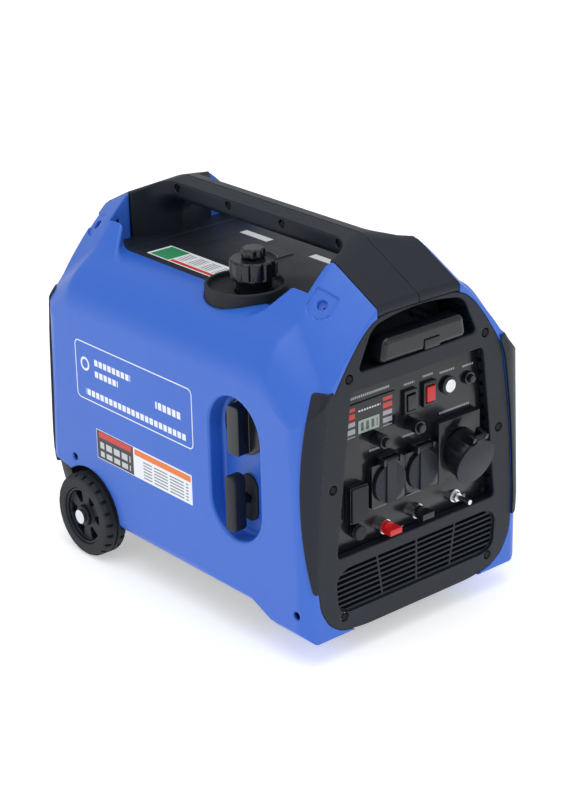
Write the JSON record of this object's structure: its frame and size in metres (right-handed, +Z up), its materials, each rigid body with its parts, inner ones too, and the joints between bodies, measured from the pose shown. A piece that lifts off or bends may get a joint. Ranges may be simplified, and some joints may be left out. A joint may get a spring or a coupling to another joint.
{
  "type": "inverter generator",
  "caption": "Portable closed-case inverter generator with carry handle, fuel cap, socket panel, recoil starter, tow handle and two rear wheels.",
  "frame": {"origin": "on the ground under the middle of the bounding box", "axes": "+X to the right when facing the control panel, which faces -Y; +Z up"},
  "size_m": [0.375, 0.535, 0.466],
  "materials": {
    "blue_shell": "satin moulded",
    "black_shell": "fine grained",
    "black_gloss": "polished",
    "panel_film": "smooth printed film",
    "tray_metal": "powder coated",
    "rubber": "matt",
    "screws": "black zinc",
    "axle_steel": "bright zinc",
    "wheel": "moulded",
    "rail_steel": "drawn tube",
    "tank": "blow moulded",
    "aluminium": "cast",
    "steel": "machined",
    "muffler": "heat proof paint",
    "battery": "moulded case",
    "red_switch": "polished",
    "button_steel": "bright ring",
    "studs": "plated",
    "copper": "wound"
  },
  "bodies": {
    "root": {"air_filter_box": "black_shell", "base_tray": "tray_metal", "battery": "battery", "carburettor": "aluminium", "casing_screws": "screws", "control_panel": "panel_film", "corner_pads": "black_shell", "display_module": "panel_film", "engine_block": "aluminium", "filler_neck": "tank", "front_bezel": "black_shell", "fuel_scupper": "rubber", "fuel_tank": "tank", "inverter_module": "aluminium", "left_side_shell": "blue_shell", "low_voltage_sockets": "black_gloss", "muffler": "muffler", "rear_cover": "black_shell", "recoil_housing": "black_shell", "recoil_plate": "rubber", "right_side_shell": "blue_shell", "round_socket": "black_gloss", "rubber_feet": "rubber", "schuko_sockets": "black_gloss", "stator": "copper", "switch_frames": "black_gloss", "terminal_studs": "studs", "top_cover_left": "black_shell", "top_cover_right": "black_shell", "top_deck": "black_shell", "tow_guides": "rail_steel", "wheel_axle": "axle_steel"},
    "service_door": {"service_door": "blue_shell"},
    "left_wheel": {"left_wheel": "wheel"},
    "right_wheel": {"right_wheel": "wheel"},
    "tow_handle": {"tow_grip": "black_gloss", "tow_rails": "rail_steel"},
    "tow_release_button": {"tow_release_button": "black_gloss"},
    "cap_gasket": {"cap_gasket": "rubber"},
    "fuel_cap": {"fuel_cap": "black_gloss"},
    "vent_knob": {"vent_knob": "black_gloss"},
    "run_knob": {"run_knob": "black_gloss"},
    "recoil_grip": {"recoil_grip": "black_shell"},
    "recoil_reel": {"recoil_reel": "black_shell"},
    "crank_train": {"crankshaft": "steel", "flywheel_fan": "steel"},
    "piston": {"piston": "aluminium"},
    "idle_rocker": {"idle_rocker": "black_gloss"},
    "main_rocker": {"main_rocker": "red_switch"},
    "start_button": {"start_button": "button_steel"},
    "reset_button": {"reset_button": "black_gloss"},
    "breaker_button_left": {"breaker_button_left": "black_gloss"},
    "breaker_button_right": {"breaker_button_right": "black_gloss"},
    "schuko_lid_left": {"schuko_lid_left": "black_shell"},
    "schuko_lid_right": {"schuko_lid_right": "black_shell"},
    "round_socket_lid": {"round_socket_lid": "black_shell"},
    "usb_flap": {"usb_flap": "rubber"},
    "dc_cap": {"dc_cap": "rubber"},
    "red_post": {"red_post": "red_switch"},
    "black_post": {"black_post": "black_gloss"}
  },
  "joints": [
    {"name": "service_door_hinge", "type": "hinge", "parent": "root", "child": "service_door", "pos_m": [0.16925, 0.13149, 0.205], "axis": [0, 0, 1], "range_deg": [0, 100]},
    {"name": "left_wheel_spin", "type": "hinge", "parent": "root", "child": "left_wheel", "pos_m": [-0.168, 0.18149, 0.054], "axis": [1, 0, 0], "continuous": true},
    {"name": "right_wheel_spin", "type": "hinge", "parent": "root", "child": "right_wheel", "pos_m": [0.168, 0.18149, 0.054], "axis": [1, 0, 0], "continuous": true},
    {"name": "tow_handle_slide", "type": "slide", "parent": "root", "child": "tow_handle", "axis": [0, -1, 0], "range_m": [0, 0.3]},
    {"name": "tow_release_press", "type": "slide", "parent": "tow_handle", "child": "tow_release_button", "axis": [0, 1, 0], "range_m": [0, 0.003], "stiffness_N_per_m": 400},
    {"name": "cap_lift", "type": "slide", "parent": "root", "child": "cap_gasket", "axis": [0, 0, 1], "range_m": [0, 0.06]},
    {"name": "fuel_cap_turn", "type": "hinge", "parent": "cap_gasket", "child": "fuel_cap", "pos_m": [-0.08, -0.04551, 0.416], "axis": [0, 0, 1], "range_deg": [0, 120]},
    {"name": "vent_knob_turn", "type": "hinge", "parent": "fuel_cap", "child": "vent_knob", "pos_m": [-0.08, -0.04551, 0.434], "axis": [0, 0, 1], "range_deg": [0, 90]},
    {"name": "run_knob_turn", "type": "hinge", "parent": "root", "child": "run_knob", "pos_m": [-0.155, -0.11251, 0.26], "axis": [-1, 0, 0], "range_deg": [0, 90]},
    {"name": "recoil_pull", "type": "slide", "parent": "root", "child": "recoil_grip", "axis": [-1, 0, 0], "range_m": [0, 0.5], "stiffness_N_per_m": 20},
    {"name": "recoil_reel_spin", "type": "hinge", "parent": "root", "child": "recoil_reel", "pos_m": [-0.114, 0.03449, 0.17], "axis": [1, 0, 0], "range_deg": [-600, 600]},
    {"name": "crank_spin", "type": "hinge", "parent": "root", "child": "crank_train", "pos_m": [0, 0.03449, 0.17], "axis": [1, 0, 0], "continuous": true},
    {"name": "piston_stroke", "type": "slide", "parent": "root", "child": "piston", "axis": [0, 0, 1], "range_m": [-0.022, 0.022]},
    {"name": "idle_rocker_tilt", "type": "hinge", "parent": "root", "child": "idle_rocker", "pos_m": [-0.005, -0.22801, 0.283], "axis": [1, 0, 0], "range_deg": [-8, 8]},
    {"name": "main_rocker_tilt", "type": "hinge", "parent": "root", "child": "main_rocker", "pos_m": [0.025, -0.22801, 0.285], "axis": [1, 0, 0], "range_deg": [-8, 8]},
    {"name": "start_press", "type": "slide", "parent": "root", "child": "start_button", "axis": [0, 1, 0], "range_m": [0, 0.0012], "stiffness_N_per_m": 400},
    {"name": "reset_press", "type": "slide", "parent": "root", "child": "reset_button", "axis": [0, 1, 0], "range_m": [0, 0.0018], "stiffness_N_per_m": 400},
    {"name": "breaker_left_press", "type": "slide", "parent": "root", "child": "breaker_button_left", "axis": [0, 1, 0], "range_m": [0, 0.0025], "stiffness_N_per_m": 400},
    {"name": "breaker_right_press", "type": "slide", "parent": "root", "child": "breaker_button_right", "axis": [0, 1, 0], "range_m": [0, 0.0025], "stiffness_N_per_m": 400},
    {"name": "schuko_lid_left_open", "type": "hinge", "parent": "root", "child": "schuko_lid_left", "pos_m": [-0.043, -0.23551, 0.226], "axis": [-1, 0, 0], "range_deg": [0, 110], "stiffness_Nm_per_rad": 0.02},
    {"name": "schuko_lid_right_open", "type": "hinge", "parent": "root", "child": "schuko_lid_right", "pos_m": [0.009, -0.23551, 0.226], "axis": [-1, 0, 0], "range_deg": [0, 110], "stiffness_Nm_per_rad": 0.02},
    {"name": "round_lid_open", "type": "hinge", "parent": "root", "child": "round_socket_lid", "pos_m": [0.069, -0.26324, 0.22866], "axis": [-1, 0, 0], "range_deg": [0, 100], "stiffness_Nm_per_rad": 0.03},
    {"name": "usb_flap_open", "type": "hinge", "parent": "root", "child": "usb_flap", "pos_m": [-0.09, -0.23571, 0.205], "axis": [-1, 0, 0], "range_deg": [0, 100]},
    {"name": "dc_cap_open", "type": "hinge", "parent": "root", "child": "dc_cap", "pos_m": [-0.099, -0.23451, 0.149], "axis": [0, 0, -1], "range_deg": [0, 110]},
    {"name": "red_post_turn", "type": "hinge", "parent": "root", "child": "red_post", "pos_m": [-0.046, -0.23551, 0.141], "axis": [0, -1, 0], "range_deg": [0, 360]},
    {"name": "black_post_turn", "type": "hinge", "parent": "root", "child": "black_post", "pos_m": [0.005, -0.23551, 0.144], "axis": [0, -1, 0], "range_deg": [0, 360]}
  ],
  "couplings": [
    {"joint": "recoil_reel_spin", "follows": "recoil_pull", "rad_per_m": 20}
  ]
}
